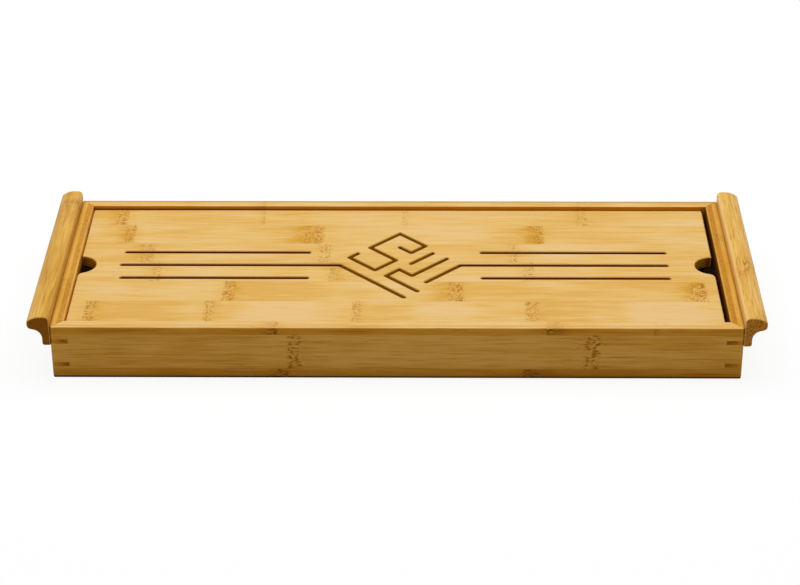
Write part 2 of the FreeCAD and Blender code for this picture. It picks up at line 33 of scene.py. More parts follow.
# The camera, as worked out from the case's edges in the photograph.
IMAGE_WIDTH = 800
FOCAL_PIXELS = 2375.63
SENSOR_WIDTH_MM = 36.0
CAMERA_PLACE = Vector((15.01, -1153.39, 669.95)) * MM
CAMERA_PITCH = math.radians(29.698)
CAMERA_YAW = math.radians(-0.694)
CAMERA_ROLL = math.radians(-0.226)

# Bamboo strips: their width and where one seam lies, across each board.
LID_STRIP = 21.65 * MM
LID_SEAM_AT = -62.0 * MM
WALL_STRIP = 21.0 * MM
WALL_SEAM_AT = 6.7 * MM
HANDLE_STRIP = 60.0 * MM
PANEL_STRIP = 26.0 * MM

# Plies at the top edge of an end wall, from its outer face: the outer one ends at OUTER_PLY, and the
# core fades into the inner one between the two distances of CORE_ENDS.
OUTER_PLY = 3.3 * MM
CORE_ENDS = (5.6 * MM, 6.4 * MM)

# Bamboo joints: strip number, where the stain begins, how wide it is, how dark and how speckled.
# Lengths are in millimetres along the grain. A negative width runs, and fades, the other way.
LID_JOINTS = [
    (5, -156, -8, 0.7, 0.9), (5, -77, -2.5, 0.25, 0.4), (5, 2, 4, 0.1, 0.6), (5, 108, -8, 0.3, 0.5),
    (4, -150, -7, 0.85, 0.8), (4, -43, -14, 1.0, 0.7), (4, 82, -10, 1.0, 0.7),
    (3, -137, -10, 0.5, 0.6), (3, -38, -9, 0.15, 0.9), (3, 67, -7, 0.15, 0.8),
    (2, -131, -6, 0.3, 0.6), (2, -38, 8, 0.45, 0.6), (2, 75, -7, 0.1, 1.0),
    (1, -95, 8, 0.8, 1.0), (1, 36, -11, 0.8, 0.8), (1, 168, -11, 1.0, 1.0),
    (0, -168, 7, 0.65, 0.9), (0, -104, 7, 0.45, 0.9), (0, -24, 6, 0.35, 0.9), (0, 69, 9, 0.6, 0.7),
]
FRONT_JOINTS = [
    (0, -58, 9, 0.1, 1.7), (0, 108, -11, 0.05, 1.7),
    (1, -63, -7, 0.5, 1.5), (1, 79, 9, 0.5, 1.5), (1, 136, 2.5, 0.15, 0.5),
    (-1, -58, -7, 0.6, 1.5), (-1, 68, 11, 0.6, 1.4),
]
BACK_JOINTS = [
    (0, 131, 9, 0.2, 1.0), (0, -37, -10, 0.15, 1.0),
    (1, 102, 8, 0.3, 0.4), (1, -77, -7, 0.3, 0.4), (-1, 122, 8, 0.7, 0.5), (-1, -44, -9, 0.7, 0.5),
]
LEFT_END_JOINTS = [
    (0, 22, -9, 0.1, 1.0), (1, 44, -9, 0.35, 0.7), (1, -19, -8, 0.3, 0.7), (-1, 40, 7, 0.6, 0.5),
]
RIGHT_END_JOINTS = [(0, -31, 9, 0.15, 1.0), (1, 33, -12, 0.5, 0.9), (-1, 12, 7, 0.6, 0.5)]
LEFT_HANDLE_JOINTS = [(0, 63, -17, 0.3, 0.55)]
RIGHT_HANDLE_JOINTS = [(0, -39, -12, 0.35, 1.0)]
# How far off, in widths, a joint counts as being where a strip has none.
FAR_AWAY = 99.0
# How strongly the joints of a wall show on its top edge.
JOINTS_ON_TOP = 0.4

# Slow changes of tone between the joints: strip number, middle and reach in millimetres, and shift,
# which is golden above nought and pale below.
LID_PATCHES = [
    (5, -118, 34, 0.2), (5, -30, 26, -0.12), (5, 150, 30, -0.15),
    (4, -96, 40, 0.06), (4, 15, 34, -0.12), (4, 112, 38, 0.28),
    (3, -95, 38, -0.1), (3, 102, 38, -0.32),
    (2, -95, 34, -0.22), (2, 48, 24, -0.28), (2, 128, 30, 0.12),
    (1, -134, 16, 0.22), (1, -62, 30, 0.42), (1, 2, 18, -0.32), (1, 64, 32, 0.34), (1, 116, 32, 0.3),
    (0, -138, 30, 0.42), (0, -62, 26, -0.6), (0, -3, 14, 0.25), (0, 26, 20, -0.45),
    (0, 92, 16, 0.38), (0, 144, 24, -0.75),
]
FRONT_PATCHES = [(0, 15, 75, -0.3), (-1, 12, 60, -0.3), (1, 60, 130, -0.4)]

# A darker line along the top edge of a long wall: strength, and where it begins and ends, in
# millimetres from the outer face.
# The line is partly the outer ply's own tone and partly painted shade on the back wall's eased edge.
FRONT_LINE = (0.5, 1.2, 3.0)
BACK_LINE = (1.0, -1.0, 2.6)

# Roughness of the satin bamboo, where it is dullest and glossiest, and the depth and strength of a relief.
DULL = 0.5
GLOSSY = 0.38
RELIEF_DEPTH = 0.05 * MM
RELIEF_STRENGTH = 0.12


def srgb(red, green, blue):
    """A colour given as 0 to 255 screen values, made linear for a shader socket."""
    linear = []
    for value in (red, green, blue):
        share = value / 255
        linear.append(share / 12.92 if share <= 0.04045 else ((share + 0.055) / 1.055) ** 2.4)
    return (*linear, 1.0)


def five_tones(*tones):
    """A palette: pale, main, golden, stained and deepest tone, in screen values."""
    return [srgb(*tone) for tone in tones]


LID_TONES = five_tones(
    (223, 186, 124), (221, 179, 101), (213, 164, 78), (200, 142, 22), (140, 84, 12))
TOP_TONES = five_tones(
    (225, 187, 122), (223, 178, 102), (214, 161, 76), (186, 122, 18), (130, 76, 10))
PLY_TONES = five_tones(
    (222, 174, 84), (214, 161, 64), (200, 143, 46), (170, 110, 14), (124, 72, 6))
DARK_PLY_TONES = five_tones(
    (214, 162, 68), (205, 150, 50), (186, 128, 30), (150, 92, 6), (110, 62, 4))
CORE_TONES = five_tones(
    (204, 150, 50), (190, 132, 34), (176, 116, 20), (150, 92, 6), (118, 66, 4))
DARK_CORE_TONES = five_tones(
    (192, 134, 24), (178, 116, 14), (164, 102, 8), (150, 92, 6), (118, 66, 4))
SIDE_TONES = five_tones(
    (240, 179, 84), (230, 166, 66), (214, 148, 48), (134, 74, 6), (118, 64, 6))
LEFT_HANDLE_TONES = five_tones(
    (222, 176, 88), (214, 165, 70), (198, 143, 50), (176, 116, 30), (150, 92, 16))
RIGHT_HANDLE_TONES = five_tones(
    (226, 182, 100), (218, 168, 78), (204, 147, 54), (196, 130, 16), (150, 92, 16))
KEY_TONES = five_tones(
    (208, 138, 36), (194, 122, 22), (162, 94, 14), (130, 72, 6), (96, 50, 2))
PANEL_TONES = five_tones(
    (214, 160, 86), (204, 147, 68), (188, 127, 50), (150, 92, 26), (110, 62, 12))

LEFT_END_GRAIN = srgb(150, 84, 8)
RIGHT_END_GRAIN = srgb(206, 140, 52)
SCORCH_AND_SHADE_ACROSS = srgb(196, 138, 0)
SCORCH_AND_SHADE_ALONG = srgb(148, 62, 0)
BACK_REBATE_PAINTED_SHADE = srgb(190, 118, 0)
END_REBATE_PAINTED_SHADE = srgb(84, 30, 0)
HANDLE_PAINTED_LIGHT = srgb(250, 208, 132)
TRAY_LIGHT = srgb(28, 12, 5)
TRAY_DARK = srgb(18, 8, 3)
SCREW_LIGHT = srgb(214, 178, 96)
SCREW_DARK = srgb(190, 150, 72)

# Shades, which multiply the colour under them, and the tint of the gloss.
MARK_SHADE = (0.58, 0.42, 0.05, 1.0)
FOOT_PAINTED_SHADE = (0.74, 0.64, 0.3, 1.0)
EDGE_SHADE = (0.8, 0.66, 0.24, 1.0)
ARRIS_PAINTED_SHADOW = (0.1, 0.06, 0.02, 1.0)
VALLEY_PAINTED_SHADE = (0.62, 0.54, 0.3, 1.0)
PLY_AND_PAINTED_SHADE = (0.74, 0.72, 0.62, 1.0)
GAP_PAINTED_SHADE = (0.35, 0.2, 0.02, 1.0)
OILED_SHEEN = (1.0, 0.7, 0.12, 1.0)


class Wiring:
    """Adds nodes to one node tree and joins them up."""

    def __init__(self, tree):
        self.tree = tree

    def add(self, kind, **settings):
        node = self.tree.nodes.new(kind)
        for name, value in settings.items():
            setattr(node, name, value)
        return node

    def feed(self, socket, value):
        if isinstance(value, bpy.types.NodeSocket):
            self.tree.links.new(value, socket)
        else:
            socket.default_value = value

    def calc(self, operation, *values, clamp=False):
        """One step of arithmetic."""
        node = self.add("ShaderNodeMath", operation=operation, use_clamp=clamp)
        for socket, value in zip(node.inputs, values):
            self.feed(socket, value)
        return node.outputs[0]

    def times(self, *values):
        """The product of two or more values."""
        product = values[0]
        for value in values[1:]:
            product = self.calc("MULTIPLY", product, value)
        return product

    def swing(self, value, amount, base):
        """Add to base the swing of a value about one half, times amount."""
        return self.calc("MULTIPLY_ADD", self.calc("SUBTRACT", value, 0.5), amount, base)

    def split(self, vector):
        node = self.add("ShaderNodeSeparateXYZ")
        self.feed(node.inputs[0], vector)
        return node.outputs[0], node.outputs[1], node.outputs[2]

    def join(self, x, y, z):
        node = self.add("ShaderNodeCombineXYZ")
        for socket, value in zip(node.inputs, (x, y, z)):
            self.feed(socket, value)
        return node.outputs[0]

    def stretch(self, vector, along, across):
        """Scale a place along the grain and across it, for a texture that runs with the grain."""
        node = self.add("ShaderNodeVectorMath", operation="MULTIPLY")
        self.feed(node.inputs[0], vector)
        node.inputs[1].default_value = (along, across, across)
        return node.outputs[0]

    def noise(self, vector, detail=2.0, roughness=0.5):
        node = self.add("ShaderNodeTexNoise")
        node.inputs["Scale"].default_value = 1.0
        node.inputs["Detail"].default_value = detail
        node.inputs["Roughness"].default_value = roughness
        self.feed(node.inputs["Vector"], vector)
        return node.outputs["Fac"]

    def step(self, value, low, high, to_low=0.0, to_high=1.0):
        """A smooth step from to_low to to_high as a value goes from low to high."""
        node = self.add("ShaderNodeMapRange", interpolation_type="SMOOTHSTEP")
        for socket, given in zip(node.inputs, (value, low, high, to_low, to_high)):
            self.feed(socket, given)
        return node.outputs[0]

    def mix(self, amount, first, second, blend="MIX"):
        node = self.add("ShaderNodeMix", data_type="RGBA", blend_type=blend)
        for name, given in (("Factor_Float", amount), ("A_Color", first), ("B_Color", second)):
            socket = next(item for item in node.inputs if item.identifier == name)
            self.feed(socket, given)
        return next(item for item in node.outputs if item.identifier == "Result_Color")

    def shade(self, amount, colour, shade):
        """Multiply a colour by a shade where amount is one."""
        return self.mix(amount, colour, shade, blend="MULTIPLY")

    def choose(self, amount, first, second):
        """The first vector where amount is nought and the second where it is one."""
        node = self.add("ShaderNodeMix", data_type="VECTOR")
        for name, given in (("Factor_Float", amount), ("A_Vector", first), ("B_Vector", second)):
            socket = next(item for item in node.inputs if item.identifier == name)
            self.feed(socket, given)
        return next(item for item in node.outputs if item.identifier == "Result_Vector")

    def use(self, group, **given):
        """Place a node group. Names of its inputs are given with _ for a space."""
        node = self.add("ShaderNodeGroup", node_tree=group)
        for name, value in given.items():
            self.feed(node.inputs[name.replace("_", " ")], value)
        return node.outputs

    def relief(self, height):
        """The normal of a surface with a shallow relief."""
        node = self.add("ShaderNodeBump")
        node.inputs["Strength"].default_value = RELIEF_STRENGTH
        node.inputs["Distance"].default_value = RELIEF_DEPTH
        self.feed(node.inputs["Height"], height)
        return node.outputs[0]

    def mix_shaders(self, amount, first, second):
        node = self.add("ShaderNodeMixShader")
        for socket, given in zip(node.inputs, (amount, first, second)):
            self.feed(socket, given)
        return node.outputs[0]

    def end_with(self, shader, kind="ShaderNodeOutputMaterial"):
        """Lead a shader to the output."""
        self.feed(self.add(kind).inputs["Surface"], shader)


def new_material(name):
    """A material with no nodes yet, and its wiring."""
    material = bpy.data.materials.new(name)
    material.use_nodes = True
    material.node_tree.nodes.clear()
    return material, Wiring(material.node_tree)


def new_group(name, inputs, outputs):
    """Start a shader node group. Each socket is (name, kind)."""
    group = bpy.data.node_groups.new(name, "ShaderNodeTree")
    for label, kind in inputs:
        group.interface.new_socket(label, in_out="INPUT", socket_type="NodeSocket" + kind)
    for label, kind in outputs:
        group.interface.new_socket(label, in_out="OUTPUT", socket_type="NodeSocket" + kind)
    wiring = Wiring(group)
    entry = wiring.add("NodeGroupInput").outputs
    way_out = wiring.add("NodeGroupOutput").inputs
    return group, wiring, entry, way_out


def make_strips_group():
    """Splits a board into edge-glued strips, each with its own chance value and slow drift."""
    group, w, entry, way_out = new_group(
        "glued strips",
        [("Place", "Vector"), ("Width", "Float"), ("Seam At", "Float"), ("Seed", "Float")],
        [("Number", "Float"), ("Chance", "Float"), ("Drift", "Float"), ("Seam", "Float")])
    along, across = w.split(entry["Place"])[:2]
    run = w.calc("DIVIDE", w.calc("SUBTRACT", across, entry["Seam At"]), entry["Width"])
    number = w.calc("FLOOR", run)
    part = w.calc("FRACT", run)
    to_seam = w.times(w.calc("MINIMUM", part, w.calc("SUBTRACT", 1.0, part)), entry["Width"])
    chance = w.add("ShaderNodeTexWhiteNoise", noise_dimensions="2D")
    w.feed(chance.inputs["Vector"], w.join(number, entry["Seed"], 0.0))
    own_row = w.calc("MULTIPLY_ADD", number, 3.7, entry["Seed"])
    drift = w.noise(w.join(w.times(along, 20.0), own_row, w.times(across, 100.0)), detail=3.0)
    w.feed(way_out["Number"], number)
    w.feed(way_out["Chance"], chance.outputs["Value"])
    w.feed(way_out["Drift"], drift)
    w.feed(way_out["Seam"], w.step(to_seam, 0.05 * MM, 0.3 * MM, 1.0, 0.0))
    return group


def make_grain_group():
    """Long fibres: fine lines, coarse streaks and sparse dark bundles, as dots on a cut end."""
    group, w, entry, way_out = new_group(
        "bamboo grain",
        [("Place", "Vector"), ("Chance", "Float"), ("Wobble", "Float")],
        [("Fine", "Float"), ("Coarse", "Float"), ("Bundles", "Float")])
    along, across, depth = w.split(entry["Place"])
    # Each strip reads another stretch of the fibres.
    own_stretch = w.calc("MULTIPLY_ADD", entry["Chance"], 3.0, along)
    shifted = w.join(own_stretch, w.calc("ADD", across, entry["Wobble"]), depth)
    w.feed(way_out["Fine"], w.noise(w.stretch(shifted, 42.0, 1050.0)))
    w.feed(way_out["Coarse"], w.noise(w.stretch(shifted, 22.0, 430.0), detail=3.0, roughness=0.6))
    bundles = w.noise(w.stretch(shifted, 45.0, 1500.0), detail=1.0)
    w.feed(way_out["Bundles"], w.step(bundles, 0.58, 0.74))
    return group


def make_nearer_joint_group():
    """Keeps whichever bamboo joint governs a place: how far past it, in widths, its stain and specks."""
    group, w, entry, way_out = new_group(
        "nearer joint",
        [("Kept", "Vector"), ("Along", "Float"), ("Number", "Float"), ("At", "Float"),
         ("On Strip", "Float"), ("Width", "Float"), ("Stain", "Float"), ("Specks", "Float")],
        [("Kept", "Vector")])
    past = w.calc("DIVIDE", w.calc("SUBTRACT", entry["Along"], entry["At"]), entry["Width"])
    kept_past = w.split(entry["Kept"])[0]
    # A joint reaches much further past its stain than before it.
    before = -5.0
    reach = w.calc("MAXIMUM", past, w.times(past, before))
    kept_reach = w.calc("MAXIMUM", kept_past, w.times(kept_past, before))
    same_strip = w.calc("COMPARE", entry["Number"], entry["On Strip"], 0.5)
    nearer = w.times(w.calc("LESS_THAN", reach, kept_reach), same_strip)
    w.feed(way_out["Kept"],
           w.choose(nearer, entry["Kept"], w.join(past, entry["Stain"], entry["Specks"])))
    return group


def make_patch_group():
    """Adds one slow change of tone to a strip."""
    group, w, entry, way_out = new_group(
        "tone patch",
        [("Shift", "Float"), ("Along", "Float"), ("Number", "Float"), ("At", "Float"),
         ("On Strip", "Float"), ("Reach", "Float"), ("Amount", "Float")],
        [("Shift", "Float")])
    apart = w.calc("ABSOLUTE", w.calc("SUBTRACT", entry["Along"], entry["At"]))
    within = w.step(w.calc("DIVIDE", apart, entry["Reach"]), 0.35, 1.1, 1.0, 0.0)
    same_strip = w.calc("COMPARE", entry["Number"], entry["On Strip"], 0.5)
    w.feed(way_out["Shift"],
           w.calc("MULTIPLY_ADD", w.times(within, same_strip), entry["Amount"], entry["Shift"]))
    return group


def make_joint_figure_group():
    """The figure of a bamboo joint: a stain that fades one way, rows of specks and wavy fibres."""
    group, w, entry, way_out = new_group(
        "joint figure",
        [("Kept", "Vector"), ("Place", "Vector"), ("Marks Place", "Vector")],
        [("Stain", "Float"), ("Halo", "Float"), ("Specks", "Float"), ("Wobble", "Float")])
    place = entry["Place"]
    past, strength, speckled = w.split(entry["Kept"])
    ragged = w.swing(w.noise(w.stretch(place, 60.0, 500.0)), 0.4, past)
    # Some fibres carry the stain further than others.
    carried = w.step(w.noise(w.stretch(place, 22.0, 700.0)), 0.3, 0.7, 0.6, 1.7)
    edge = w.step(ragged, -0.14, 0.14)
    body = w.times(edge, w.step(ragged, 0.5, 1.7, 1.0, 0.0))
    tail = w.times(edge, w.step(w.calc("DIVIDE", past, carried), 0.5, 2.6, 1.0, 0.0))
    mottle = w.step(w.noise(w.stretch(place, 120.0, 230.0), detail=3.0), 0.38, 0.6, 0.42, 1.0)
    stain = w.times(w.calc("MULTIPLY_ADD", body, 0.68, w.times(tail, 0.32)), mottle, strength)
    w.feed(way_out["Stain"], stain)
    behind = w.step(past, -1.0, -0.1)
    w.feed(way_out["Halo"], w.times(behind, w.step(past, 0.5, 4.5, 1.0, 0.0), strength))
    # Two rows of short marks cross the grain, dark beside light.
    first_row = w.step(w.calc("ABSOLUTE", w.calc("SUBTRACT", ragged, 0.2)), 0.05, 0.3, 1.0, 0.0)
    second_row = w.step(w.calc("ABSOLUTE", w.calc("SUBTRACT", ragged, 0.62)), 0.04, 0.26, 0.7, 0.0)
    clusters = w.step(w.noise(w.stretch(place, 90.0, 210.0)), 0.36, 0.56, 0.6, 1.0)
    marks = w.step(w.noise(entry["Marks Place"], detail=1.0), 0.41, 0.59, -0.8, 1.0)
    w.feed(way_out["Specks"], w.times(marks, w.calc("MAXIMUM", first_row, second_row), clusters, speckled))
    near = w.step(w.calc("ABSOLUTE", w.calc("SUBTRACT", past, 0.5)), 0.5, 1.6, 1.0, 0.0)
    sway = w.calc("SUBTRACT", w.noise(w.stretch(place, 260.0, 220.0)), 0.5)
    w.feed(way_out["Wobble"], w.times(sway, near, 4.0 * MM))
    return group


def make_tone_group():
    """Mixes the tones of one bamboo board from the figure of its strips, grain and joints."""
    group, w, entry, way_out = new_group(
        "bamboo tones",
        [("Pale", "Color"), ("Main", "Color"), ("Golden", "Color"), ("Brown", "Color"),
         ("Deep", "Color"), ("Shift", "Float"), ("Chance", "Float"), ("Drift", "Float"),
         ("Seam", "Float"), ("Fine", "Float"), ("Coarse", "Float"), ("Bundles", "Float"),
         ("Stain", "Float"), ("Halo", "Float"), ("Specks", "Float")],
        [("Color", "Color")])
    tone = w.swing(entry["Coarse"], 1.5, 0.46)
    tone = w.swing(entry["Drift"], 1.7, tone)
    tone = w.swing(entry["Chance"], 0.3, tone)
    tone = w.swing(entry["Fine"], 1.7, tone)
    tone = w.calc("ADD", tone, entry["Shift"])
    tone = w.calc("MULTIPLY_ADD", entry["Halo"], 0.3, tone)
    colour = w.mix(w.step(tone, 0.0, 0.55), entry["Pale"], entry["Main"])
    colour = w.mix(w.step(tone, 0.45, 1.1), colour, entry["Golden"])
    colour = w.mix(w.times(entry["Bundles"], 0.32), colour, entry["Brown"])
    colour = w.mix(w.calc("MULTIPLY", entry["Stain"], 1.1, clamp=True), colour, entry["Brown"])
    dark_marks = w.calc("MAXIMUM", entry["Specks"], 0.0)
    light_marks = w.calc("MAXIMUM", w.times(entry["Specks"], -1.0), 0.0)
    colour = w.shade(dark_marks, colour, MARK_SHADE)
    colour = w.mix(w.times(light_marks, 0.6), colour, entry["Pale"])
    colour = w.mix(w.times(entry["Seam"], 0.14), colour, entry["Deep"])
    w.feed(way_out["Color"], colour)
    return group


groups = {
    "strips": make_strips_group(),
    "grain": make_grain_group(),
    "nearer": make_nearer_joint_group(),
    "patch": make_patch_group(),
    "figure": make_joint_figure_group(),
    "tones": make_tone_group(),
}


class Board:
    """One bamboo material in the making: its wiring, its place on the board and its figure.

    The order names the axes along the grain, across it and into the board. The marks of the joints are
    given as repeats per metre along and across the grain, and the slant is how far the joints lean.
    """

    def __init__(self, name, order, strip_width, seam_at, seed, joints=(), patches=(),
                 marks=(640.0, 520.0), slant=0.0):
        self.material, self.w = new_material(name)
        w = self.w
        coordinates = w.add("ShaderNodeTexCoord").outputs
        self.x, self.y, self.z = w.split(coordinates["Object"])
        self.facing = w.split(coordinates["Normal"])
        by_letter = {"x": self.x, "y": self.y, "z": self.z}
        along, across, depth = [by_letter[letter] for letter in order]
        if slant:
            along = w.calc("MULTIPLY_ADD", w.calc("SUBTRACT", across, seam_at), -slant, along)
        self.place = w.join(along, across, depth)
        self.strips = w.use(groups["strips"], Place=self.place, Width=strip_width,
                            Seam_At=seam_at, Seed=seed)
        number = self.strips["Number"]
        kept = (FAR_AWAY, 0.0, 0.0)
        for strip, at, width, stain, specks in joints:
            kept = w.use(groups["nearer"], Kept=kept, Along=along, Number=number, At=at * MM,
                         On_Strip=float(strip), Width=width * MM, Stain=stain, Specks=specks)["Kept"]
        self.shift = 0.0
        for strip, at, reach, amount in patches:
            self.shift = w.use(groups["patch"], Shift=self.shift, Along=along, Number=number, At=at * MM,
                               On_Strip=float(strip), Reach=reach * MM, Amount=amount)["Shift"]
        self.figure = w.use(groups["figure"], Kept=kept, Place=self.place,
                            Marks_Place=w.stretch(self.place, *marks))
        self.grain = w.use(groups["grain"], Place=self.place, Chance=self.strips["Chance"],
                           Wobble=self.figure["Wobble"])

    def tones(self, palette, grain=None, jointed=1.0):
        """Colour of the board in one palette of five tones, its joints as strong as jointed says."""
        pale, main, golden, brown, deep = palette
        grain = grain or self.grain
        stain, specks = [self.w.times(self.figure[part], jointed) for part in ("Stain", "Specks")]
        return self.w.use(groups["tones"], Pale=pale, Main=main, Golden=golden, Brown=brown, Deep=deep,
                          Shift=self.shift,
                          Chance=self.strips["Chance"], Drift=self.strips["Drift"],
                          Seam=self.strips["Seam"], Fine=grain["Fine"], Coarse=grain["Coarse"],
                          Bundles=grain["Bundles"], Stain=stain,
                          Halo=self.figure["Halo"], Specks=specks)["Color"]

    def dashes(self, colour, along, across, strength):
        """Short dark pores along the grain, given as repeats per metre along and across it."""
        w = self.w
        pores = w.step(w.noise(w.stretch(self.place, along, across), detail=3.0), 0.5, 0.7, 0.0, strength)
        return w.shade(pores, colour, MARK_SHADE)

    def duller(self, where, dull_by, glossy_by):
        """The two roughnesses of the satin bamboo, raised where a mask is one."""
        w = self.w
        return w.calc("MULTIPLY_ADD", where, dull_by, DULL), w.calc("MULTIPLY_ADD", where, glossy_by, GLOSSY)

    def finish(self, colour, dull=DULL, glossy=GLOSSY):
        """Close the material with a satin surface whose gloss and relief follow the fibres."""
        w = self.w
        shader = w.add("ShaderNodeBsdfPrincipled")
        w.feed(shader.inputs["Base Color"], colour)
        w.feed(shader.inputs["Roughness"], w.step(self.grain["Fine"], 0.3, 0.7, glossy, dull))
        shader.inputs["Specular IOR Level"].default_value = 0.3
        shader.inputs["Specular Tint"].default_value = OILED_SHEEN
        fibres = w.noise(w.stretch(self.place, 30.0, 1150.0))
        height = w.calc("MULTIPLY_ADD", self.strips["Seam"], -0.5, fibres)
        w.feed(shader.inputs["Normal"], w.relief(height))
        w.end_with(shader.outputs[0])
        return self.material


def upward(board):
    """One where the surface faces up, nought on the sides."""
    return board.w.step(board.facing[2], 0.55, 0.85)


def eased_edge(board):
    """One on the narrow faces that ease the top edges, which get a painted highlight."""
    w = board.w
    return w.times(w.step(board.facing[2], 0.3, 0.5), w.step(board.facing[2], 0.8, 0.95, 1.0, 0.0))


def make_lid_material():
    low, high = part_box("lid_board")
    board = Board("lid bamboo", "xyz", LID_STRIP, LID_SEAM_AT, seed=2.0, joints=LID_JOINTS,
                  patches=LID_PATCHES, marks=(860.0, 700.0))
    w = board.w
    face = board.tones(LID_TONES)
    # The walls of the slots and notches are darker: partly scorch left by the cutter and partly painted
    # shade deep in the narrow cuts, most where they run with the grain.
    middle = (low + high) / 2
    half = (high - low) / 2
    outside = 0.6 * MM
    from_middle_x = w.calc("ABSOLUTE", w.calc("SUBTRACT", board.x, middle.x))
    from_middle_y = w.calc("ABSOLUTE", w.calc("SUBTRACT", board.y, middle.y))
    inside_x = w.calc("LESS_THAN", from_middle_x, half.x - outside)
    inside_y = w.calc("LESS_THAN", from_middle_y, half.y - outside)
    facing_x, facing_y, facing_z = [w.calc("ABSOLUTE", part) for part in board.facing]
    on_wall = w.step(facing_z, 0.25, 0.5, 1.0, 0.5)
    scorch_and_shade = w.times(on_wall, w.step(facing_z, 0.85, 0.97, 1.0, 0.0), inside_x, inside_y)
    along_the_grain = w.step(w.calc("DIVIDE", facing_y, w.calc("ADD", facing_x, facing_y)), 0.65, 0.9)
    # Painted highlight: the eased edges are made paler, as if they caught the light.
    face = w.mix(w.times(eased_edge(board), 0.6), face, LID_TONES[0])
    colour = w.mix(scorch_and_shade, face, w.mix(along_the_grain, SCORCH_AND_SHADE_ACROSS, SCORCH_AND_SHADE_ALONG))
    return board.finish(colour, *board.duller(scorch_and_shade, 0.45, 0.55))


def wall_sides(board):
    """Amber sides, darker at the top and the foot, with painted shade low down, and the mask of the rounding
    under them.
    """
    w = board.w
    colour = board.dashes(board.tones(SIDE_TONES), 30.0, 950.0, 0.42)
    # Both narrow strips, at the top and at the foot, are darker than the wide one between them.
    from_middle_strip = w.calc("MINIMUM", w.calc("ABSOLUTE", board.strips["Number"]), 1.0)
    edge_strip = w.times(from_middle_strip, w.step(board.z, 5.0 * MM, 20.0 * MM, 0.45, 0.8))
    colour = w.shade(edge_strip, colour, EDGE_SHADE)
    # Painted shade: the sides darken towards the foot, where less light reaches them.
    foot = w.step(board.z, 1.5 * MM, 11.0 * MM, 1.0, 0.0)
    colour = w.shade(foot, colour, FOOT_PAINTED_SHADE)
    # Painted shadow: the rounding under the sides is made nearly black next to the floor, and the flat
    # underside isn't.
    low = w.step(board.z, 1.5 * MM, 2.5 * MM, 1.0, 0.0)
    arris = w.times(low, w.step(board.facing[2], -0.99, -0.93))
    return w.shade(arris, colour, ARRIS_PAINTED_SHADOW), arris


def end_wall_rim(board, plies, from_end, core_tones, valley_shade):
    """The top edge of an end wall: its plies, and painted shade, as strong as given, in the valley beside
    the handle.
    """
    w = board.w
    core_place = w.join(board.z, board.x, board.y)
    core_grain = w.use(groups["grain"], Place=core_place, Chance=0.4, Wobble=0.0)
    blur = 0.2 * MM
    core = w.times(w.step(from_end, OUTER_PLY - blur, OUTER_PLY + blur),
                   w.step(from_end, *CORE_ENDS, 1.0, 0.2))
    plies = w.mix(core, plies, board.tones(core_tones, core_grain, JOINTS_ON_TOP))
    # Painted shade in the valley between the rim and the handle.
    beside_handle = w.step(from_end, 0.9 * MM, 1.9 * MM, valley_shade, 0.0)
    return w.shade(beside_handle, plies, VALLEY_PAINTED_SHADE)


def long_wall_rim(board, plies, from_side, line):
    """The top edge of the front or back wall, with its darker line: the outer ply's tone, and painted shade
    on the back wall's eased edge.
    """
    w = board.w
    strength, begins, ends = line
    ply_tone_and_shade = w.times(w.step(from_side, (begins - 0.4) * MM, (begins + 0.4) * MM, 0.0, strength),
                         w.step(from_side, (ends - 0.5) * MM, (ends + 0.5) * MM, 1.0, 0.0))
    return w.shade(ply_tone_and_shade, plies, PLY_AND_PAINTED_SHADE)


def make_wall_material(name, order, joints, top, rebate_shade, rebate_shade_at_top, seed, patches=(),
                       line=None, core_tones=None, valley_shade=0.0):
    """A wall: amber sides, and a top edge that shows its plies, with painted shade in the rebate.

    A long wall has a line, and an end wall has core tones and painted shade beside its handle.
    """
    lid_low, lid_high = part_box("lid_board")
    board = Board(name, order, WALL_STRIP, WALL_SEAM_AT, seed, joints, patches, marks=(460.0, 1150.0))
    w = board.w
    colour, arris = wall_sides(board)
    size_x, size_y = w.calc("ABSOLUTE", board.x), w.calc("ABSOLUTE", board.y)
    from_end = w.calc("SUBTRACT", HALF_LENGTH, size_x)
    from_side = w.calc("SUBTRACT", HALF_DEPTH, size_y)
    plies = board.tones(top, jointed=JOINTS_ON_TOP)
    if line:
        plies = long_wall_rim(board, plies, from_side, line)
    else:
        plies = end_wall_rim(board, plies, from_end, core_tones, valley_shade)
    colour = w.mix(upward(board), colour, plies)
    # Inside the rebate, which reaches this far past the lid, painted shade darkens the wood towards the
    # tray.
    past_end = 2.4 * MM
    past_side = 0.55 * MM
    inside = w.times(w.calc("LESS_THAN", size_x, lid_high.x + past_end),
                     w.calc("LESS_THAN", size_y, lid_high.y + past_side))
    rebate_shade_amount = w.times(inside, w.step(board.z, lid_low.z, lid_high.z + 1.0 * MM, 1.0, rebate_shade_at_top))
    colour = w.mix(rebate_shade_amount, colour, rebate_shade)
    if line:
        # Painted shade in the gap beside the lid, deepest just above it and most at the left.
        low_down = w.step(board.z, lid_high.z + 0.1 * MM, lid_high.z + 1.2 * MM, 1.0, 0.0)
        to_the_left = w.step(board.x, -130 * MM, 50 * MM, 0.95, 0.12)
        colour = w.shade(w.times(inside, low_down, to_the_left), colour, GAP_PAINTED_SHADE)
    to_mitre = w.calc("ABSOLUTE", w.calc("SUBTRACT", from_end, from_side))
    mitre = w.step(to_mitre, 0.05 * MM, 0.3 * MM, 0.6, 0.0)
    colour = w.mix(mitre, colour, SIDE_TONES[3])
    return board.finish(colour, *board.duller(arris, 0.5, 0.6))


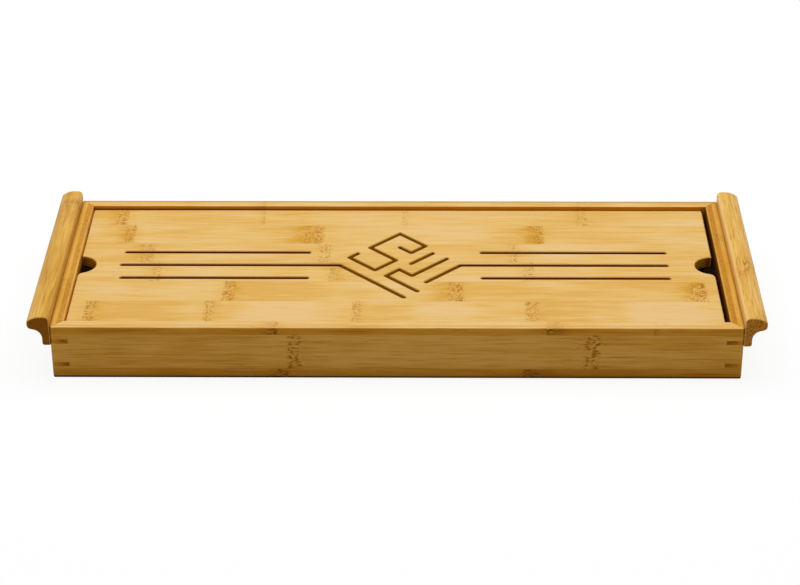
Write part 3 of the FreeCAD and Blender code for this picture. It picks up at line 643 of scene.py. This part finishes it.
def make_handle_material(node, joints, palette, end_grain, seed, slant, pores, dots, painted_light=0.0):
    """A handle, with pores along it, dots on its ends and a band of painted light beside the rim.

    The pores are given as repeats along and across and strength, and the dots and the band as strengths.
    """
    # A handle is one strip, so the seams fall beside it.
    seam_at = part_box(node)[0].x - HANDLE_STRIP / 4
    board = Board(node.replace("_", " ") + " bamboo", "yxz", HANDLE_STRIP, seam_at, seed, joints,
                  marks=(420.0, 620.0), slant=slant)
    w = board.w
    face = board.dashes(board.tones(palette), *pores)
    from_wall = w.calc("SUBTRACT", w.calc("ABSOLUTE", board.x), HALF_LENGTH)
    # Painted light: the handle is made paler in a band just beside the rim, against the shade there.
    painted_light_band = w.times(w.step(from_wall, 0.5 * MM, 1.9 * MM, painted_light, 0.0),
                         w.step(board.z, 31.6 * MM, 32.6 * MM))
    face = w.mix(painted_light_band, face, HANDLE_PAINTED_LIGHT)
    on_end = w.step(w.calc("ABSOLUTE", board.facing[1]), 0.8, 0.95)
    bundles = w.step(w.noise(w.stretch(board.place, 45.0, 1050.0), detail=1.0), 0.44, 0.62, 0.0, dots)
    return board.finish(w.mix(on_end, face, w.shade(bundles, end_grain, MARK_SHADE)))


def make_key_material():
    """Keys: slices with the fibres running across the corner, worn paler at the corner."""
    board = Board("key bamboo", "xyz", PANEL_STRIP, seam_at=0.0, seed=5.0)
    w = board.w
    size_x, size_y = w.calc("ABSOLUTE", board.x), w.calc("ABSOLUTE", board.y)
    both = w.calc("ADD", size_x, size_y)
    across_corner = w.join(w.calc("SUBTRACT", size_x, size_y), both, board.z)
    grain = w.use(groups["grain"], Place=across_corner, Chance=0.3, Wobble=0.0)
    face = board.tones(KEY_TONES, grain)
    from_corner = w.calc("SUBTRACT", HALF_LENGTH + HALF_DEPTH, both)
    inner = w.step(from_corner, 3.0 * MM, 8.0 * MM, 0.0, 0.4)
    face = board.dashes(w.mix(inner, face, KEY_TONES[4]), 480.0, 480.0, 0.9)
    at_corner = w.step(from_corner, 2.0 * MM, 3.6 * MM, 0.75, 0.0)
    return board.finish(w.mix(at_corner, face, SIDE_TONES[2]))


def make_plain_bamboo(name, order, palette, seed):
    """Bamboo or wood without joints, for the hidden pieces."""
    board = Board(name, order, PANEL_STRIP, seam_at=0.0, seed=seed)
    return board.finish(board.tones(palette), dull=0.55, glossy=0.45)


def make_speckled_material(name, light, dark, metallic, roughness, scale, specular=0.5):
    """A surface with a fine mottle, for moulded plastic or plated metal."""
    material, w = new_material(name)
    place = w.add("ShaderNodeTexCoord").outputs["Object"]
    mottle = w.noise(w.stretch(place, scale, scale))
    shader = w.add("ShaderNodeBsdfPrincipled")
    w.feed(shader.inputs["Base Color"], w.mix(mottle, light, dark))
    w.feed(shader.inputs["Roughness"], w.step(mottle, 0.3, 0.7, roughness, roughness + 0.12))
    shader.inputs["Metallic"].default_value = metallic
    shader.inputs["Specular IOR Level"].default_value = specular
    w.feed(shader.inputs["Normal"], w.relief(mottle))
    w.end_with(shader.outputs[0])
    return material


def paint(node, material):
    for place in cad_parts[node].material_slots:
        place.material = material


def paint_everything():
    """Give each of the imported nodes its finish."""
    paint("lid_board", make_lid_material())
    paint("front_wall", make_wall_material(
        "front wall bamboo", "xzy", FRONT_JOINTS, TOP_TONES, BACK_REBATE_PAINTED_SHADE, rebate_shade_at_top=0.7,
        seed=1.0, patches=FRONT_PATCHES, line=FRONT_LINE))
    paint("back_wall", make_wall_material(
        "back wall bamboo", "xzy", BACK_JOINTS, TOP_TONES, BACK_REBATE_PAINTED_SHADE, rebate_shade_at_top=0.7,
        seed=3.0, line=BACK_LINE))
    paint("left_end_wall", make_wall_material(
        "left wall bamboo", "yzx", LEFT_END_JOINTS, PLY_TONES, END_REBATE_PAINTED_SHADE, rebate_shade_at_top=0.0,
        seed=6.0, core_tones=CORE_TONES, valley_shade=0.6))
    paint("right_end_wall", make_wall_material(
        "right wall bamboo", "yzx", RIGHT_END_JOINTS, DARK_PLY_TONES, END_REBATE_PAINTED_SHADE, rebate_shade_at_top=0.8,
        seed=8.0, core_tones=DARK_CORE_TONES, valley_shade=0.25))
    paint("left_handle", make_handle_material(
        "left_handle", LEFT_HANDLE_JOINTS, LEFT_HANDLE_TONES, LEFT_END_GRAIN,
        seed=4.0, slant=0.0, pores=(55.0, 900.0, 0.42), dots=0.35))
    paint("right_handle", make_handle_material(
        "right_handle", RIGHT_HANDLE_JOINTS, RIGHT_HANDLE_TONES, RIGHT_END_GRAIN,
        seed=9.0, slant=1.3, pores=(95.0, 900.0, 0.6), dots=0.9, painted_light=0.7))
    keys = make_key_material()
    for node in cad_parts:
        if "_key_" in node:
            paint(node, keys)
    battens = make_plain_bamboo("batten bamboo", "yxz", TOP_TONES, seed=11.0)
    paint("left_lid_batten", battens)
    paint("right_lid_batten", battens)
    paint("bottom_panel", make_plain_bamboo("panel bamboo", "xyz", PANEL_TONES, seed=12.0))
    dowels = make_plain_bamboo("dowel wood", "xyz", TOP_TONES, seed=13.0)
    paint("left_handle_dowels", dowels)
    paint("right_handle_dowels", dowels)
    paint("drip_tray", make_speckled_material(
        "tray plastic", TRAY_LIGHT, TRAY_DARK, metallic=0.0, roughness=0.75, scale=900.0, specular=0.04))
    screws = make_speckled_material(
        "screw metal", SCREW_LIGHT, SCREW_DARK, metallic=1.0, roughness=0.3, scale=1500.0)
    paint("left_batten_screws", screws)
    paint("right_batten_screws", screws)


def white_to_the_eye(w, seen, other):
    """Show one shader to the camera, and in mirrors and glass, and another to other light."""
    light_path = w.add("ShaderNodeLightPath").outputs
    seen_by = w.calc("MAXIMUM", light_path["Is Camera Ray"], light_path["Is Glossy Ray"])
    seen_by = w.calc("MAXIMUM", seen_by, light_path["Is Transmission Ray"])
    return w.mix_shaders(seen_by, other, seen)


def plain_shader(w, kind, socket, value):
    """A shader with one value set."""
    node = w.add(kind)
    node.inputs[socket].default_value = value
    return node.outputs[0]


def make_floor():
    """A pale floor under the case, which can be seen through from below."""
    side = 6.0
    just_under = -0.02 * MM
    shadow_share = 0.1
    bpy.ops.mesh.primitive_plane_add(size=side, location=(0, 0, just_under))
    floor = bpy.context.object
    floor.name = "floor"
    material, w = new_material("pale floor")
    glow = plain_shader(w, "ShaderNodeEmission", "Strength", 1.0)
    pale = plain_shader(w, "ShaderNodeBsdfDiffuse", "Color", (0.96, 0.96, 0.96, 1.0))
    grey = plain_shader(w, "ShaderNodeBsdfDiffuse", "Color", (0.42, 0.42, 0.42, 1.0))
    clear = plain_shader(w, "ShaderNodeBsdfTransparent", "Color", (1.0, 1.0, 1.0, 1.0))
    from_above = white_to_the_eye(w, w.mix_shaders(shadow_share, glow, pale), grey)
    from_below = w.add("ShaderNodeNewGeometry").outputs["Backfacing"]
    passed_through = w.add("ShaderNodeLightPath").outputs["Transparent Depth"]
    w.end_with(w.mix_shaders(w.calc("MAXIMUM", from_below, passed_through), from_above, clear))
    floor.data.materials.append(material)


def make_lights():
    """Soft studio light from above in a plain white room."""
    world = bpy.data.worlds.new("studio")
    bpy.context.scene.world = world
    world.use_nodes = True
    world.node_tree.nodes.clear()
    w = Wiring(world.node_tree)
    white = plain_shader(w, "ShaderNodeBackground", "Strength", 1.0)
    dim = plain_shader(w, "ShaderNodeBackground", "Strength", 0.42)
    w.end_with(white_to_the_eye(w, white, dim), "ShaderNodeOutputWorld")

    lamp = bpy.data.lights.new("overhead light", "AREA")
    lamp.shape = "RECTANGLE"
    lamp.size = 1.6
    lamp.size_y = 1.0
    lamp.energy = 17.0
    holder = bpy.data.objects.new("overhead light", lamp)
    bpy.context.collection.objects.link(holder)
    holder.location = (0.0, 0.2, 1.3)
    holder.rotation_euler = (-holder.location).to_track_quat("-Z", "Y").to_euler()


def make_camera():
    """The photograph's camera: place, direction and focal length."""
    data = bpy.data.cameras.new("camera")
    data.sensor_fit = "HORIZONTAL"
    data.sensor_width = SENSOR_WIDTH_MM
    data.lens = FOCAL_PIXELS * SENSOR_WIDTH_MM / IMAGE_WIDTH
    camera = bpy.data.objects.new("camera", data)
    bpy.context.collection.objects.link(camera)
    ahead = Vector((
        math.sin(CAMERA_YAW) * math.cos(CAMERA_PITCH),
        math.cos(CAMERA_YAW) * math.cos(CAMERA_PITCH),
        -math.sin(CAMERA_PITCH)))
    level_right = Vector((math.cos(CAMERA_YAW), -math.sin(CAMERA_YAW), 0))
    level_up = level_right.cross(ahead)
    right = level_right * math.cos(CAMERA_ROLL) + level_up * math.sin(CAMERA_ROLL)
    up = level_up * math.cos(CAMERA_ROLL) - level_right * math.sin(CAMERA_ROLL)
    turn = Matrix((right, up, -ahead)).transposed().to_4x4()
    camera.matrix_world = Matrix.Translation(CAMERA_PLACE) @ turn
    bpy.context.scene.camera = camera


paint_everything()
make_floor()
make_lights()
make_camera()
bpy.context.scene.view_settings.view_transform = "Standard"
